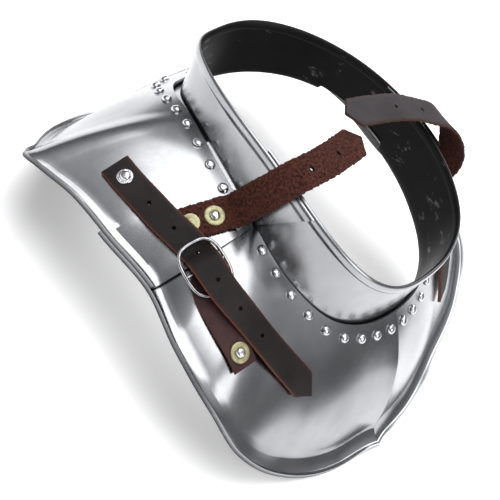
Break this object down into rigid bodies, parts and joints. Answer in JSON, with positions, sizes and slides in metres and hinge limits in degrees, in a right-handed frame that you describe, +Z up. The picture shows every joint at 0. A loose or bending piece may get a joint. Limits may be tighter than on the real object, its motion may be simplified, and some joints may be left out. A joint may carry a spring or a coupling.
{
  "type": "steel gorget",
  "caption": "Steel gorget: a standing hemmed collar riveted to front and back neck plates, closed at the sides by leather straps and buckles.",
  "frame": {"origin": "on the ground under the middle of the whole piece, centre of the bounding box's bottom", "axes": "+Z up, -Y towards the wearer's front, +X towards the wearer's left"},
  "size_m": [0.3242, 0.2768, 0.1541],
  "materials": {
    "polished_steel": "polished outside, blackened inside the collar",
    "rivet_steel": "bright, lightly hammered",
    "smooth_leather": "smooth, dyed dark brown",
    "rough_leather": "flesh side out, rough red-brown",
    "brass": "dull pale brass"
  },
  "bodies": {
    "root": {"back_collar": "polished_steel", "back_collar_rivet_1": "rivet_steel", "back_collar_rivet_10": "rivet_steel", "back_collar_rivet_11": "rivet_steel", "back_collar_rivet_12": "rivet_steel", "back_collar_rivet_13": "rivet_steel", "back_collar_rivet_14": "rivet_steel", "back_collar_rivet_15": "rivet_steel", "back_collar_rivet_16": "rivet_steel", "back_collar_rivet_17": "rivet_steel", "back_collar_rivet_2": "rivet_steel", "back_collar_rivet_3": "rivet_steel", "back_collar_rivet_4": "rivet_steel", "back_collar_rivet_5": "rivet_steel", "back_collar_rivet_6": "rivet_steel", "back_collar_rivet_7": "rivet_steel", "back_collar_rivet_8": "rivet_steel", "back_collar_rivet_9": "rivet_steel", "back_plate": "polished_steel", "front_collar": "polished_steel", "front_collar_rivet_1": "rivet_steel", "front_collar_rivet_10": "rivet_steel", "front_collar_rivet_11": "rivet_steel", "front_collar_rivet_12": "rivet_steel", "front_collar_rivet_13": "rivet_steel", "front_collar_rivet_14": "rivet_steel", "front_collar_rivet_15": "rivet_steel", "front_collar_rivet_16": "rivet_steel", "front_collar_rivet_17": "rivet_steel", "front_collar_rivet_18": "rivet_steel", "front_collar_rivet_2": "rivet_steel", "front_collar_rivet_3": "rivet_steel", "front_collar_rivet_4": "rivet_steel", "front_collar_rivet_5": "rivet_steel", "front_collar_rivet_6": "rivet_steel", "front_collar_rivet_7": "rivet_steel", "front_collar_rivet_8": "rivet_steel", "front_collar_rivet_9": "rivet_steel", "front_plate": "polished_steel", "left_buckle": "rivet_steel", "left_buckle_tongue": "rivet_steel", "left_chape": "smooth_leather", "left_chape_rivet": "brass", "left_shoulder_lower_rivet": "brass", "left_shoulder_strap": "rough_leather", "left_shoulder_upper_rivet": "rivet_steel", "left_shoulder_upper_washer": "brass", "left_side_strap": "smooth_leather", "left_side_strap_rivet": "rivet_steel", "right_buckle": "rivet_steel", "right_buckle_tongue": "rivet_steel", "right_chape": "smooth_leather", "right_chape_rivet": "brass", "right_shoulder_lower_rivet": "brass", "right_shoulder_strap": "rough_leather", "right_shoulder_upper_rivet": "rivet_steel", "right_shoulder_upper_washer": "brass", "right_side_strap": "smooth_leather", "right_side_strap_rivet": "rivet_steel"}
  },
  "joints": []
}
